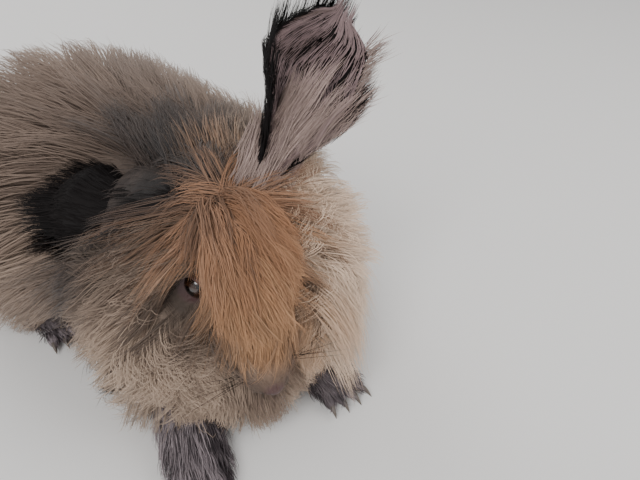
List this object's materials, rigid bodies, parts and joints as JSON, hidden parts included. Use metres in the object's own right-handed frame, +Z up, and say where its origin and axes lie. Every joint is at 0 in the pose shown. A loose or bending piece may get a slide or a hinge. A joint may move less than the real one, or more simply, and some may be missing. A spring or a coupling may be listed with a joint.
{
  "type": "angora rabbit",
  "caption": "Life-size still model of a crouching angora rabbit in long wool, head low, one ear raised and one laid back.",
  "frame": {"origin": "on the floor under the middle of the whole animal's box", "axes": "+Z up, the head faces -Y and its left side is at +X; the trunk runs towards +Y and turns to its right"},
  "size_m": [0.2984, 0.4168, 0.2617],
  "materials": {
    "wool_fawn": "long soft wool, matt",
    "wool_beige": "long soft wool, matt",
    "wool_smoke": "long soft wool, matt",
    "ear_fur": "short fur with long tassels",
    "paw_fur": "short dense fur",
    "skin": "bare skin of nose, lips and lids",
    "claw": "polished horn",
    "eye": "wet gloss"
  },
  "bodies": {
    "root": {"head": "wool_fawn", "neck": "wool_fawn", "torso": "wool_beige", "tail": "wool_smoke", "ear_left": "ear_fur", "ear_right": "ear_fur", "eye_left": "eye", "eye_right": "eye", "foreleg_left": "paw_fur", "foreleg_right": "paw_fur", "hind_leg_left": "paw_fur", "hind_leg_right": "paw_fur"}
  },
  "joints": []
}
